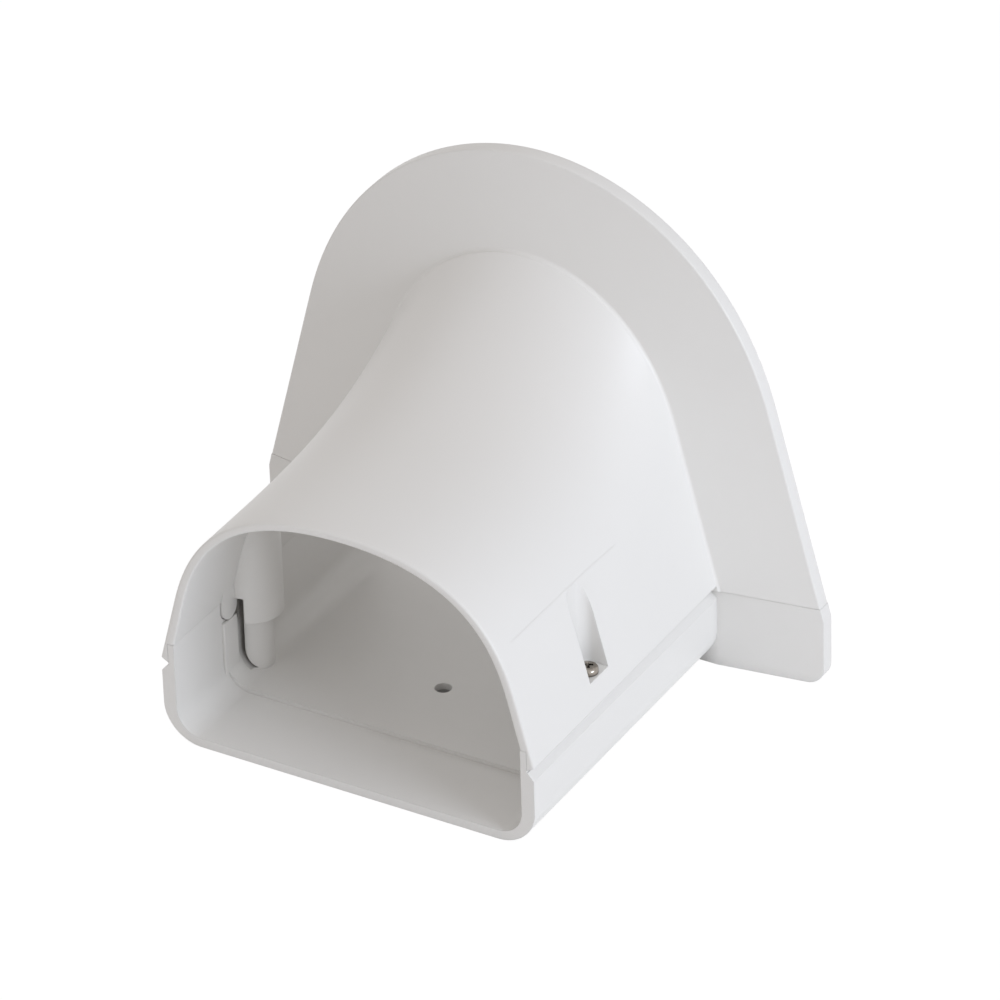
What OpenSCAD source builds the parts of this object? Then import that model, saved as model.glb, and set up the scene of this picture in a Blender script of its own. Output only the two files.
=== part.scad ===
// Flanged end cap for rectangular pipe cover: a tub-shaped base, a flared hood that
// laps over it, and the two tapping screws that hold them together. The mouth faces -Y
// and takes the pipe cover; the flange faces +Y and covers the hole in the ceiling or
// wall. X is across the body, Z is up from the surface that the base is fixed to.

/* [Body] */
// Outer width of the base across its side walls
body_w = 80; // [64:1:100]
// Length from the mouth to the root of the flange
body_len = 69.7; // [60:0.1:90]
// Outer radius along the two bottom corners of the base
corner_r = 8; // [4:0.5:12]
// Height of the seam between base and cover
seam_h = 16.75; // [14:0.25:20]

/* [Hood] */
// Height of the crown at the mouth
mouth_h = 56.4; // [48:0.1:70]
// Height of the crown at the flange
bell_h = 79.5; // [72:0.1:100]
// Inward lean of the hood's side walls in degrees
side_lean = 15; // [8:1:20]
// Height where the shoulders start to round at the mouth
mouth_shoulder_h = 31.5; // [28:0.5:38]
// Height where the shoulders start to round at the flange
bell_shoulder_h = 51; // [42:0.5:56]
// Fullness of the shoulders at the mouth
mouth_shoulder_pull = 0.51; // [0.4:0.01:0.8]
// Fullness of the shoulders at the flange
bell_shoulder_pull = 0.78; // [0.4:0.01:0.9]
// Width of the flat of the crown at the mouth
mouth_crown_pull = 0.7; // [0.3:0.01:0.8]
// Width of the flat of the crown at the flange
bell_crown_pull = 0.34; // [0.2:0.01:0.6]
// How sharply the flare turns up towards the flange
flare_power = 4; // [2:0.1:6]
// Radius of the fillet between hood and flange
root_fillet = 1.2; // [0.6:0.1:3]

/* [Walls] */
// Thickness of the base's side walls, which the lap joint shares
side_wall = 2.8; // [2.6:0.1:4]
// Thickness of the hood at its lip
hood_wall = 2.1; // [1.9:0.1:2.8]
// Thickness of the hood at its crown
crown_wall = 1.6; // [1.2:0.1:3]
// Thickness of the base's floor
floor_t = 2.7; // [2.4:0.1:4]

/* [Pipe cover socket] */
// Depth of the recess that the end of the pipe cover lies in
socket_len = 17.5; // [10:0.5:24]
// Step between the recess and the rest of the floor
socket_step = 0.8; // [0.4:0.1:1.4]

/* [Flange] */
// Width of the flange from the hood to its rim
flange_margin = 19.4; // [14:0.1:28]
// Thickness of the flange plate
flange_plate = 2.2; // [1.6:0.1:3]
// Thickness of the flange at its rim
flange_rim = 3.1; // [2.8:0.1:5]
// Distance that the rim lies behind the flange's root
flange_rake = 3.1; // [1:0.1:5]
// Width of the flat land that bears on the ceiling
land_w = 2.5; // [1.5:0.1:5]
// Radius of the flange's two bottom corners
foot_r = 3.5; // [3:0.5:12]

/* [Lap joint] */
// Thickness of the base's tongue inside the cover's lip
tongue_t = 1.2; // [0.8:0.1:1.4]
// Height of the tongue above the seam
tongue_h = 4.25; // [3:0.25:6]
// Distance that the cover's lip stands proud of the base
lip_proud = 0.45; // [0:0.05:1]
// Height of the groove along the seam
groove_h = 1.6; // [0.8:0.1:3]
// Gap between faces that slide together
slip = 0.15; // [0.1:0.05:0.3]

/* [Screw posts] */
// Distance of the posts from the mouth
post_y = 26.6; // [22:0.1:40]
// Distance of a post's axis inside the base's outer wall
post_inset = 3.5; // [2.9:0.1:4.5]
// Diameter of the posts
post_d = 7.6; // [6.4:0.1:9]
// Width of the open channel that the driver reaches down
channel_w = 6.7; // [6:0.1:7.6]
// Distance from the screw's axis to the back of that channel
channel_back = 3.2; // [2.8:0.1:3.6]
// Radius of the two corners at the channel's back
channel_corner_r = 2.4; // [1:0.1:2.6]
// Height of the ledge that the screw head sits on
ledge_h = 22.5; // [20:0.1:26]
// Thickness of that ledge
ledge_t = 2.3; // [1.5:0.1:3]
// Height of the bottom edge of the skirt round each post
skirt_h = 14.8; // [10:0.1:15]
// Wall of the skirt round the post
skirt_wall = 2.05; // [1.4:0.05:2.4]
// Gap between the skirt and the base's side wall
skirt_gap = 2.4; // [1.2:0.1:2.6]
// Width of the slits that keep the posts clear of the side walls
relief_w = 1; // [0.8:0.1:1.6]

/* [Locating tabs] */
// Distance of the tabs' centres from the mouth
tab_y = 19; // [15:0.1:20]
// Width of a tab
tab_w = 4.8; // [3:0.1:6]
// Height that the tabs reach down to
tab_foot_h = 16.6; // [13:0.1:17]
// How far the tab and its rib stand off the wall
tab_proud = 0.6; // [0.3:0.1:1.2]

/* [Fixings] */
// Nominal diameter of the tapping screws
screw_d = 2.2; // [2:0.1:2.6]
// Length of the tapping screws under their heads
screw_len = 9.5; // [6.5:0.5:11]
// Diameter of the screw heads
head_d = 4; // [3.6:0.1:5]
// Height of the screw heads
head_h = 1.6; // [1.3:0.1:2.2]
// Diameter of the hole in the floor that fixes the base to the wall
fixing_d = 3.3; // [3:0.1:6]
// Distance of that hole from the mouth
fixing_y = 35; // [28:0.5:50]

/* [Hidden] */
$fn = 64;

shell_white = [0.92, 0.92, 0.93];
steel = [0.72, 0.72, 0.70];

// Counts of facets along the moulded skin
side_steps = 4;
arch_steps = 12;
length_steps = 14;
fillet_steps = 3;

half_w = body_w / 2;
lip_half_w = half_w + lip_proud;
root_y = body_len;
rim_front_y = root_y + flange_rake;
depth = rim_front_y + flange_rim;
inner_half_w = half_w - side_wall;
tongue_half_w = inner_half_w + tongue_t;
tongue_top = seam_h + tongue_h;
inner_corner_r = max(corner_r - side_wall, 1);
post_x = half_w - post_inset;
socket_r = post_d / 2 + slip;
skirt_r = socket_r + skirt_wall;
skirt_side_x = inner_half_w - skirt_gap;
ledge_under = ledge_h - ledge_t;
pilot_d = screw_d + 0.1;
pilot_spare = 1.5;
screw_hole_d = screw_d + 0.5;
neck_w = screw_d + 2;
relief_reach = 0.5;
relief_foot = 0.8;
seam_gap = 0.15;
base_top = seam_h - seam_gap;
shelf_drop = 0.05;
bevel_rise = 0.3;
land_draft = 0.6;
rim_bevel = 0.5;
knee_h = seam_h - 2.75;
foot_half_w = lip_half_w + tan(side_lean) * (seam_h - knee_h) + flange_margin / cos(side_lean);
foot_top_half_w = lip_half_w + tan(side_lean) * seam_gap + flange_margin / cos(side_lean);
notch_x = tongue_half_w + slip;
tab_x = inner_half_w - tab_proud;
tab_end = tab_foot_h + tab_w / 2;
tab_root = 0.5;
// Height where the leaning wall of the hood comes flush with the face of a tab
tab_flush_h = seam_h + (lip_half_w - hood_wall / cos(side_lean) - tab_x) / tan(side_lean);
tab_top = max(tab_flush_h + tab_root, tongue_top + hood_wall);
tip_d = 0.4;
dome_r = 0.72 * head_d;
cross_len = 0.55 * head_d;
cross_w = 0.14 * head_d;
far = 200;

// ---- the moulded skin ----

function lerp(a, b, f) = a + (b - a) * f;
function flare(t) = pow(t, flare_power);
function bezier(p, s) =
    pow(1 - s, 3) * p[0] + 3 * s * pow(1 - s, 2) * p[1] + 3 * s * s * (1 - s) * p[2] + pow(s, 3) * p[3];
function slope(p, s) =
    3 * pow(1 - s, 2) * (p[1] - p[0]) + 6 * s * (1 - s) * (p[2] - p[1]) + 3 * s * s * (p[3] - p[2]);
function outward(d) = [d[1], -d[0]] / norm(d);

// Side wall of the hood: the point at height z
function wall_x(z) = lip_half_w - tan(side_lean) * (z - seam_h);

// Handles of the curve from the shoulder to the crown at t, which is 0 at the mouth
// and 1 at the flange
function shoulder_z(t) = lerp(mouth_shoulder_h, bell_shoulder_h, flare(t));
function crown_z(t) = lerp(mouth_h, bell_h, flare(t));
function arch(t) =
    let (z = shoulder_z(t), x = wall_x(z), rise = crown_z(t) - z)
    let (up = lerp(mouth_shoulder_pull, bell_shoulder_pull, flare(t)) * rise)
    let (across = lerp(mouth_crown_pull, bell_crown_pull, flare(t)) * x)
    [[x, z], [x - sin(side_lean) * up, z + cos(side_lean) * up], [across, crown_z(t)], [0, crown_z(t)]];

// A stop on the section is [point, direction to offset it in, stretch of that offset].
// The direction turns from level at the seam to square to the wall at the shoulder, and
// the stretch keeps the offset wall parallel.
function side_stop(t, i) =
    let (z = lerp(seam_h, shoulder_z(t), i / side_steps), turn = side_lean * i / side_steps)
    [[wall_x(z), z], [cos(turn), sin(turn)], 1 / cos(side_lean - turn)];
function arch_stop(t, i) =
    let (p = arch(t), s = i / arch_steps)
    [bezier(p, s), outward(slope(p, s)), 1];
function mirrored(stop) = [[-stop[0][0], stop[0][1]], [-stop[1][0], stop[1][1]], stop[2]];
function half_section(t) = [
    for (i = [0 : side_steps - 1]) side_stop(t, i),
    for (i = [0 : arch_steps - 1]) arch_stop(t, i)
];
function section(t) =
    let (half = half_section(t), last = len(half) - 1)
    concat(half, [arch_stop(t, arch_steps)], [for (i = [last : -1 : 0]) mirrored(half[i])]);

function wall_at(t, z) = lerp(hood_wall, crown_wall, (z - seam_h) / (crown_z(t) - seam_h));
function place(stop, m, y) = [stop[0][0] + stop[1][0] * stop[2] * m, y, stop[0][1] + stop[1][1] * stop[2] * m];

// Rows of the skin from the mouth to the rim: [t, offset of the front, y of the front,
// how far the back is from the inner wall to the front's offset, y of the back]
hood_rows = [
    for (i = [0 : length_steps])
        let (t = i / length_steps)
        [t, 0, t * (root_y - root_fillet), 0, t * (root_y + flange_plate)]
];
fillet_rows = [
    for (i = [1 : fillet_steps])
        let (a = 90 * i / fillet_steps)
        let (m = root_fillet * (1 - cos(a)))
        [1, m, root_y - root_fillet * (1 - sin(a)), i / fillet_steps, root_y + flange_plate]
];
land_start = flange_margin - land_w;
plate_stops = [
    (root_fillet + land_start) / 2,
    land_start - land_draft,
    land_start,
    flange_margin - rim_bevel
];
function face_y(m) = root_y + flange_rake * (m - root_fillet) / (flange_margin - root_fillet);
function back_y(m) = m < land_start ? face_y(m) + flange_plate : depth;
plate_rows = [for (m = plate_stops) [1, m, face_y(m), 1, back_y(m)]];
rim_row = [[1, flange_margin, rim_front_y + rim_bevel, 1, depth]];
rows = concat(hood_rows, fillet_rows, plate_rows, rim_row);

front_points = [for (r = rows) for (stop = section(r[0])) place(stop, r[1], r[2])];
back_points = [
    for (r = rows)
        for (stop = section(r[0]))
            let (inside = -wall_at(r[0], stop[0][1]))
            place(stop, lerp(inside, r[1], r[3]), r[4])
];
stops = 2 * (side_steps + arch_steps) + 1;
skin_size = len(rows) * stops;
function at(row, stop) = row * stops + stop;
function quad(a, b, c, d) = [[a, c, b], [a, d, c]];

skin_faces = [
    for (r = [0 : len(rows) - 2])
        for (s = [0 : stops - 2])
            each concat(
                quad(at(r, s), at(r + 1, s), at(r + 1, s + 1), at(r, s + 1)),
                quad(skin_size + at(r, s), skin_size + at(r, s + 1),
                    skin_size + at(r + 1, s + 1), skin_size + at(r + 1, s))),
    for (s = [0 : stops - 2])
        each concat(
            quad(at(0, s), at(0, s + 1), skin_size + at(0, s + 1), skin_size + at(0, s)),
            quad(at(len(rows) - 1, s + 1), at(len(rows) - 1, s),
                skin_size + at(len(rows) - 1, s), skin_size + at(len(rows) - 1, s + 1))),
    for (r = [0 : len(rows) - 2])
        each concat(
            quad(at(r + 1, 0), at(r, 0), skin_size + at(r, 0), skin_size + at(r + 1, 0)),
            quad(at(r, stops - 1), at(r + 1, stops - 1),
                skin_size + at(r + 1, stops - 1), skin_size + at(r, stops - 1)))
];

module skin() {
    polyhedron(concat(front_points, back_points), skin_faces, convexity = 6);
}

// The hood filled solid out to the middle of its wall, which trims what is moulded inside
core_rows = length_steps + 1;
core_points = [
    for (i = [0 : core_rows - 1])
        for (stop = section(rows[i][0])) place(stop, -crown_wall / 2, rows[i][2])
];
crown_stop = side_steps + arch_steps;
function end_quad(a, b, c, d) = [for (face = quad(a, b, c, d)) if (is_triangle(face)) face];
function is_triangle(f) = f[0] != f[1] && f[1] != f[2] && f[2] != f[0];
core_faces = [
    for (r = [0 : core_rows - 2])
        for (s = [0 : stops - 2])
            each quad(at(r, s), at(r + 1, s), at(r + 1, s + 1), at(r, s + 1)),
    for (r = [0 : core_rows - 2])
        each quad(at(r, stops - 1), at(r + 1, stops - 1), at(r + 1, 0), at(r, 0)),
    for (s = [0 : crown_stop - 1])
        each concat(
            end_quad(at(0, s), at(0, s + 1), at(0, stops - 2 - s), at(0, stops - 1 - s)),
            end_quad(at(core_rows - 1, s + 1), at(core_rows - 1, s),
                at(core_rows - 1, stops - 1 - s), at(core_rows - 1, stops - 2 - s)))
];

module hood_core() {
    polyhedron(core_points, core_faces, convexity = 4);
}

// ---- shared helpers ----

// Moves a piece from the frame of the mouth to the part's frame, centred on its depth
module seated() {
    translate([0, -depth / 2, 0]) children();
}

module both_sides() {
    children();
    mirror([1, 0, 0]) children();
}

// Extrudes an outline drawn in X and Z along Y
module along_y(from, to) {
    translate([0, to, 0]) rotate([90, 0, 0]) linear_extrude(to - from) children();
}

// A box from one corner to the other
module block(a, b) {
    translate(a) cube(b - a);
}

// Upright rectangle with round bottom corners
module tub_outline(half, bottom, top, r) {
    translate([-half, bottom + r]) square([2 * half, top - bottom - r]);
    translate([-half + r, bottom]) square([2 * (half - r), r + 0.01]);
    translate([half - r, bottom + r]) circle(r);
    translate([-half + r, bottom + r]) circle(r);
}

// ---- cover ----

// What is moulded round one screw: channel wall, ledge and skirt
module screw_well() {
    intersection() {
        translate([post_x, post_y, skirt_h]) cylinder(r = skirt_r, h = bell_h - skirt_h);
        difference() {
            union() {
                hood_core();
                block([0, post_y - half_w, 0], [skirt_side_x + slip, post_y + half_w, ledge_h - slip]);
            }
            block([skirt_side_x, 0, 0], [far, far, ledge_under]);
        }
    }
}

// Driver channel in plan, with its back rounded and its front open to the outside
module channel_outline() {
    corner_x = channel_corner_r - channel_back;
    corner_y = channel_w / 2 - channel_corner_r;
    translate([corner_x, -channel_w / 2]) square([half_w, channel_w]);
    translate([-channel_back, -corner_y]) square([half_w, 2 * corner_y]);
    for (side = [-1, 1]) translate([corner_x, side * corner_y]) circle(channel_corner_r);
}

// What is cut away for one screw: channel, screw hole and socket over the post
module screw_well_cuts() {
    translate([post_x, post_y, ledge_h]) linear_extrude(far) channel_outline();
    translate([post_x, post_y, 0]) cylinder(d = screw_hole_d, h = far);
    intersection() {
        translate([post_x, post_y, 0]) cylinder(r = socket_r, h = ledge_under);
        block([0, 0, 0], [notch_x, far, far]);
    }
}

// Tongue that hangs from the cover's lip into the notch in the base
module tab() {
    intersection() {
        translate([tab_x, tab_y, 0]) rotate([90, 0, 90]) linear_extrude(far) {
            translate([0, tab_end]) circle(d = tab_w);
            translate([-tab_w / 2, tab_end]) square([tab_w, tab_top - tab_end]);
        }
        along_y(tab_y - tab_w, tab_y + tab_w)
            polygon([[0, 0], [tongue_half_w, 0], [tongue_half_w, tongue_top + tongue_t],
                [tab_x + hood_wall / 2, tab_top + tab_root], [0, tab_top + tab_root]]);
    }
}

// Clearance for the base's tongue
module tongue_rebate() {
    block([0, -1, 0], [notch_x, far, tongue_top + slip]);
}

// Sloping underside of the lip, the upper half of the groove along the seam
module lip_bevel() {
    along_y(-1, root_y - root_fillet / 2)
        polygon([[notch_x, 0], [notch_x, seam_h + bevel_rise],
            [lip_half_w + 1, seam_h + groove_h + bevel_rise], [lip_half_w + 1, 0]]);
}

module cover() {
    color(shell_white) seated() difference() {
        union() {
            difference() {
                skin();
                both_sides() tongue_rebate();
                both_sides() lip_bevel();
            }
            both_sides() screw_well();
            both_sides() tab();
        }
        both_sides() screw_well_cuts();
    }
}

// ---- base ----

module tub() {
    difference() {
        along_y(0, root_y + flange_plate / 2) difference() {
            tub_outline(half_w, 0, tongue_top, corner_r);
            lap_cut();
            mirror([1, 0]) lap_cut();
        }
        along_y(-1, socket_len) tub_outline(inner_half_w, floor_t - socket_step, far, inner_corner_r);
        along_y(socket_len - 0.01, far) tub_outline(inner_half_w, floor_t, far, inner_corner_r);
    }
}

// Outside of the tongue and the sloping shoulder that the cover's lip sits over
module lap_cut() {
    shelf = base_top - shelf_drop;
    polygon([[tongue_half_w, far], [tongue_half_w, shelf], [notch_x + slip, shelf],
        [half_w, base_top - groove_h], [half_w + 1, base_top - groove_h], [half_w + 1, far]]);
}

// Lower end of the flange on one side, with the floor carried back to its land
module foot() {
    difference() {
        intersection() {
            linear_extrude(base_top) polygon([
                [0, root_y], [half_w, root_y], [foot_half_w, rim_front_y], [foot_half_w, depth], [0, depth]
            ]);
            along_y(0, far) foot_outline(0);
        }
        along_y(0, far) tub_outline(inner_half_w, floor_t, far, inner_corner_r);
        intersection() {
            linear_extrude(far) polygon([
                [0, root_y + flange_plate], [half_w, root_y + flange_plate],
                [foot_half_w, rim_front_y + flange_plate], [foot_half_w, far], [0, far]
            ]);
            along_y(0, far) foot_outline(land_w);
        }
    }
}

// Outline of the flange's foot, drawn in by a margin
module foot_outline(margin) {
    side = foot_half_w - margin;
    bottom = margin > 0 ? floor_t : 0;
    polygon([[0, bottom], [side - foot_r, bottom], [side, bottom + foot_r], [side, knee_h],
        [foot_top_half_w - margin, base_top], [foot_top_half_w - margin, far], [0, far]]);
    translate([side - foot_r, bottom + foot_r]) circle(foot_r);
}

// Post for one screw, with its neck into the side wall
module post() {
    intersection() {
        translate([post_x, post_y, floor_t / 2]) cylinder(d = post_d, h = ledge_under - floor_t / 2);
        along_y(0, far) difference() {
            tub_outline(half_w, 0, far, corner_r);
            lap_cut();
        }
    }
}

// Slits on both sides of the neck, which follow the side wall down round its corner
module post_reliefs() {
    for (side = [0, 1])
        translate([0, post_y, 0]) mirror([0, side, 0])
            along_y(neck_w / 2, post_d / 2 + relief_reach) intersection() {
                translate([0, floor_t + relief_foot]) square(far / 2);
                difference() {
                    tub_outline(inner_half_w + slip, floor_t - slip, far, inner_corner_r);
                    tub_outline(inner_half_w - relief_w, floor_t - slip, far, inner_corner_r);
                }
            }
}

// Rib under each tab, whose top the tab stands on
module rib() {
    intersection() {
        block([tab_x, tab_y - tab_w / 2, floor_t / 2],
            [half_w - side_wall / 2, tab_y + tab_w / 2, tab_foot_h - slip]);
        along_y(0, far) tub_outline(half_w, 0, far, corner_r);
    }
}

// Notch in the tongue for the tab and the screw well
module tongue_notch() {
    near = inner_half_w - 1;
    well_end = post_y + skirt_r + slip;
    block([near, tab_y - tab_w / 2 - slip, tab_end], [notch_x, tab_y, far]);
    translate([near, tab_y, tab_end])
        rotate([0, 90, 0]) cylinder(d = tab_w + 2 * slip, h = notch_x - near);
    block([near, tab_y, skirt_h], [notch_x, post_y - post_d / 2, far]);
    block([near, post_y - post_d / 2, ledge_under], [notch_x, well_end, far]);
    block([near, post_y + post_d / 2, skirt_h], [notch_x, well_end, far]);
}

module base() {
    color(shell_white) seated() difference() {
        union() {
            difference() {
                tub();
                both_sides() tongue_notch();
            }
            both_sides() foot();
            both_sides() rib();
            both_sides() post();
        }
        both_sides() post_reliefs();
        both_sides() translate([post_x, post_y, ledge_h - screw_len - pilot_spare]) cylinder(d = pilot_d, h = far);
        translate([0, fixing_y, -1]) cylinder(d = fixing_d, h = far);
    }
}

// ---- screws ----

// Pan head with a cross recess, on a shank with a cone point
module tapping_screw(x) {
    tip_h = screw_d;
    color(steel) seated() translate([x, post_y, ledge_h]) difference() {
        union() {
            intersection() {
                cylinder(d = head_d, h = head_h);
                translate([0, 0, head_h - dome_r]) sphere(dome_r);
            }
            translate([0, 0, -screw_len + tip_h]) cylinder(d = screw_d, h = screw_len - tip_h);
            translate([0, 0, -screw_len]) cylinder(d1 = tip_d, d2 = screw_d, h = tip_h);
        }
        for (turn = [0, 90])
            rotate(turn) translate([0, 0, head_h]) cube([cross_len, cross_w, head_h], center = true);
    }
}

module screw_left() {
    tapping_screw(-post_x);
}

module screw_right() {
    tapping_screw(post_x);
}

base();
cover();
screw_left();
screw_right();
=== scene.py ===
# %% [markdown]
# This script dresses the flanged end cap of a run of rectangular pipe cover. The cap has
# four pieces: a tub-shaped base, a flared hood that laps over it, and two tapping screws.
# The imported model gives every piece its place, so the first step is to load it.

# %% Load the imported model
import math

import bmesh
import bpy
from mathutils import Matrix, Vector


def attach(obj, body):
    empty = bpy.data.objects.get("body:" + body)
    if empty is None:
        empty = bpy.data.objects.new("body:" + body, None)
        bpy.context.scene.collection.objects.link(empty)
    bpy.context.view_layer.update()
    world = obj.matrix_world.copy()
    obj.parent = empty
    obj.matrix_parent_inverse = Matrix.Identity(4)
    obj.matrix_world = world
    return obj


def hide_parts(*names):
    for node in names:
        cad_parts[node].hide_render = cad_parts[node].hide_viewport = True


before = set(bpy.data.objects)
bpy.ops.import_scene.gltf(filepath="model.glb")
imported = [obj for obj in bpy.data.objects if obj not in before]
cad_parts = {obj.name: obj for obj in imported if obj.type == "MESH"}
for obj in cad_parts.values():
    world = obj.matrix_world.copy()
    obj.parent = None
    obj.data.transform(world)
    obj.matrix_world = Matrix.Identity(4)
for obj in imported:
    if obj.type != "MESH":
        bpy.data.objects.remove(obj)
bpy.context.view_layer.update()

# %% [markdown]
# A moulded part is drawn in millimetres from one datum. Here the datum is the mouth, where
# the pipe cover slides in: X across, Y along the run, Z up from the wall that the base is
# fixed to. The sizes are those of the solid model, most of them under the same names. Only
# the root fillet and the edges of the rims are drawn a little tighter than there, the fit of
# the seam is drawn closed up to a hairline, as it looks once the hood is pushed home, and a
# thin sill is added behind it.

# %% Sizes of the moulding in millimetres
MM = 0.001
half_w = 40.0
mouth_to_root = 69.7
corner_r = 8.0
seam_h = 16.75
mouth_h, bell_h = 56.4, 79.5
side_lean = math.radians(15.0)
mouth_shoulder_h, bell_shoulder_h = 31.5, 51.0
mouth_shoulder_pull, bell_shoulder_pull = 0.51, 0.78
mouth_crown_pull, bell_crown_pull = 0.70, 0.34
flare_power = 4.0
root_fillet = 0.8
side_wall, hood_wall, crown_wall, floor_t = 2.8, 2.1, 1.6, 2.7
socket_len, socket_step = 17.5, 0.8
flange_margin, flange_plate, flange_rim, flange_rake = 19.4, 2.2, 3.1, 3.1
land_w, land_draft, foot_r, knee_drop = 2.5, 0.6, 3.5, 2.75
tongue_t, tongue_h, lip_proud, groove_h = 1.2, 4.25, 0.45, 1.6
sill_t, sill_h = 0.4, 0.6
slip, hairline = 0.15, 0.03
post_y, post_inset, post_d = 26.6, 3.5, 7.6
channel_w, channel_back, channel_corner_r = 6.7, 3.2, 2.4
ledge_h, ledge_t, skirt_h, skirt_wall, skirt_gap = 22.5, 2.3, 14.8, 2.05, 2.4
relief_w, relief_foot = 1.0, 0.8
tab_y, tab_w, tab_foot_h, tab_proud, tab_root = 19.0, 4.8, 16.6, 0.6, 0.5
screw_d, screw_len, head_d, head_h = 2.2, 9.5, 4.0, 1.6
screw_play, pilot_play, pilot_spare, neck_spare = 0.5, 0.1, 1.5, 2.0
fixing_d, fixing_y = 3.3, 35.0
print(f"{2 * half_w:.0f} mm over the side walls, seam {seam_h} mm up")

# %% Sizes that follow from them
lip_half_w = half_w + lip_proud
flare_len = mouth_to_root - root_fillet
rim_front_y = mouth_to_root + flange_rake
depth = rim_front_y + flange_rim
inner_half_w = half_w - side_wall
tongue_half_w = inner_half_w + tongue_t
tongue_top = seam_h + tongue_h
sill_x, sill_top = tongue_half_w - sill_t, seam_h + sill_h
notch_x = tongue_half_w + slip
base_top = seam_h - slip
snug = slip - hairline
post_x = half_w - post_inset
socket_r = post_d / 2 + slip
skirt_r = socket_r + skirt_wall
skirt_side_x = inner_half_w - skirt_gap
tab_x = inner_half_w - tab_proud
tab_end = tab_foot_h + tab_w / 2
lip_inner_half_w = lip_half_w - hood_wall / math.cos(side_lean)
tab_top = seam_h + (lip_inner_half_w - tab_x) / math.tan(side_lean) + tab_root
ledge_under = ledge_h - ledge_t
screw_hole_d = screw_d + screw_play
pilot_d = screw_d + pilot_play
neck_w = screw_d + neck_spare
knee_h = seam_h - knee_drop
leaned_margin = flange_margin / math.cos(side_lean)
foot_top_half_w = lip_half_w + math.tan(side_lean) * slip + leaned_margin
foot_half_w = lip_half_w + math.tan(side_lean) * (seam_h - knee_h) + leaned_margin
print(f"overall depth {depth:.1f} mm, flange foot {2 * foot_half_w:.1f} mm wide")

# %% [markdown]
# The pieces are solids with clean walls, so they are made the way a toolmaker cuts them:
# a blank is lofted or extruded, its edges are softened, and pockets are carved out of it.
# The helpers below make a blank from points, carve one solid with another, and soften
# edges. Each one applies its modifier at once, so the next cut meets finished faces. A
# cutting tool starts ahead of the part, ends far beyond it, runs a little past the face
# that it opens and laps over the cut beside it, so that no skin is left between two cuts.

# %% Blanks from points
AHEAD, FAR = -5.0, 120.0
past, lap = 1.0, 0.1


def face_outward(piece):
    work = bmesh.new()
    work.from_mesh(piece.data)
    bmesh.ops.recalc_face_normals(work, faces=work.faces)
    work.to_mesh(piece.data)
    work.free()


def blank(name, points, faces):
    """Makes a closed piece from points in millimetres, with the mouth at y = 0."""
    mesh = bpy.data.meshes.new(name)
    mesh.from_pydata([(x * MM, (y - depth / 2) * MM, z * MM) for x, y, z in points], [], faces)
    mesh.validate()
    piece = bpy.data.objects.new(name, mesh)
    bpy.context.scene.collection.objects.link(piece)
    face_outward(piece)
    return piece


def quads(rows, stops, loop_rows=False, loop_stops=False):
    """Quads between neighbouring rows of points; a loop joins the last to the first."""
    return [(r * stops + s, r * stops + (s + 1) % stops,
             (r + 1) % rows * stops + (s + 1) % stops, (r + 1) % rows * stops + s)
            for r in range(rows if loop_rows else rows - 1)
            for s in range(stops if loop_stops else stops - 1)]


def lids(rows, stops):
    """One face over the first row of points and one over the last."""
    last = (rows - 1) * stops
    return [tuple(range(stops)), tuple(last + s for s in reversed(range(stops)))]


print("blanks: points, quads and lids are ready")

# %% Prisms, blocks and drums
def along_x(a, b, x):
    return (x, a, b)


def along_y(a, b, y):
    return (a, y, b)


def along_z(a, b, z):
    return (a, b, z)


def prism(name, outline, start, end, place):
    """Extrudes an outline; place turns (a, b, along) into x, y, z."""
    n = len(outline)
    points = [place(a, b, start) for a, b in outline] + [place(a, b, end) for a, b in outline]
    sides = [(i, (i + 1) % n, n + (i + 1) % n, n + i) for i in range(n)]
    return blank(name, points, [tuple(range(n))[::-1], tuple(range(n, 2 * n))] + sides)


def block(name, low, high):
    (x0, y0, z0), (x1, y1, z1) = low, high
    return prism(name, [(x0, y0), (x1, y0), (x1, y1), (x0, y1)], z0, z1, along_z)


def drum(name, centre, radius, low, high, steps=96):
    ring = [(centre[0] + radius * math.cos(2 * math.pi * i / steps),
             centre[1] + radius * math.sin(2 * math.pi * i / steps)) for i in range(steps)]
    return prism(name, ring, low, high, along_z)


def quarter(steps):
    """Angles of a quarter turn, for rims, corners and fillets."""
    return [math.pi / 2 * i / steps for i in range(steps + 1)]


print("prism, block and drum are ready")

# %% Carving and softening
def settle(piece):
    """Applies the piece's modifiers to its own mesh."""
    shaped = piece.evaluated_get(bpy.context.evaluated_depsgraph_get())
    shape = bpy.data.meshes.new_from_object(shaped)
    piece.modifiers.clear()
    old, piece.data = piece.data, shape
    bpy.data.meshes.remove(old)


def discard(tool):
    mesh = tool.data
    bpy.data.objects.remove(tool)
    bpy.data.meshes.remove(mesh)


def carve(piece, *tools, how="DIFFERENCE"):
    for tool in tools:
        cut = piece.modifiers.new(how.title(), "BOOLEAN")
        cut.operation = how
        cut.solver = "EXACT"
        cut.object = tool
        settle(piece)
        discard(tool)
    return piece


def join(piece, *others):
    return carve(piece, *others, how="UNION")


def overlap(piece, other):
    return carve(piece, other, how="INTERSECT")


def soften(piece, radius, segments=3, angle=30):
    edge = piece.modifiers.new("Softened edges", "BEVEL")
    edge.width = radius * MM
    edge.segments = segments
    edge.limit_method = "ANGLE"
    edge.angle_limit = math.radians(angle)
    edge.use_clamp_overlap = True
    settle(piece)


def both_sides(make):
    """Makes a tool for the right side and its mirror image for the left."""
    right = make()
    left = right.copy()
    left.data = right.data.copy()
    left.data.transform(Matrix.Scale(-1, 4, Vector((1, 0, 0))))
    left.data.flip_normals()
    bpy.context.scene.collection.objects.link(left)
    return right, left


print("carve, join, overlap and soften are ready")

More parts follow.
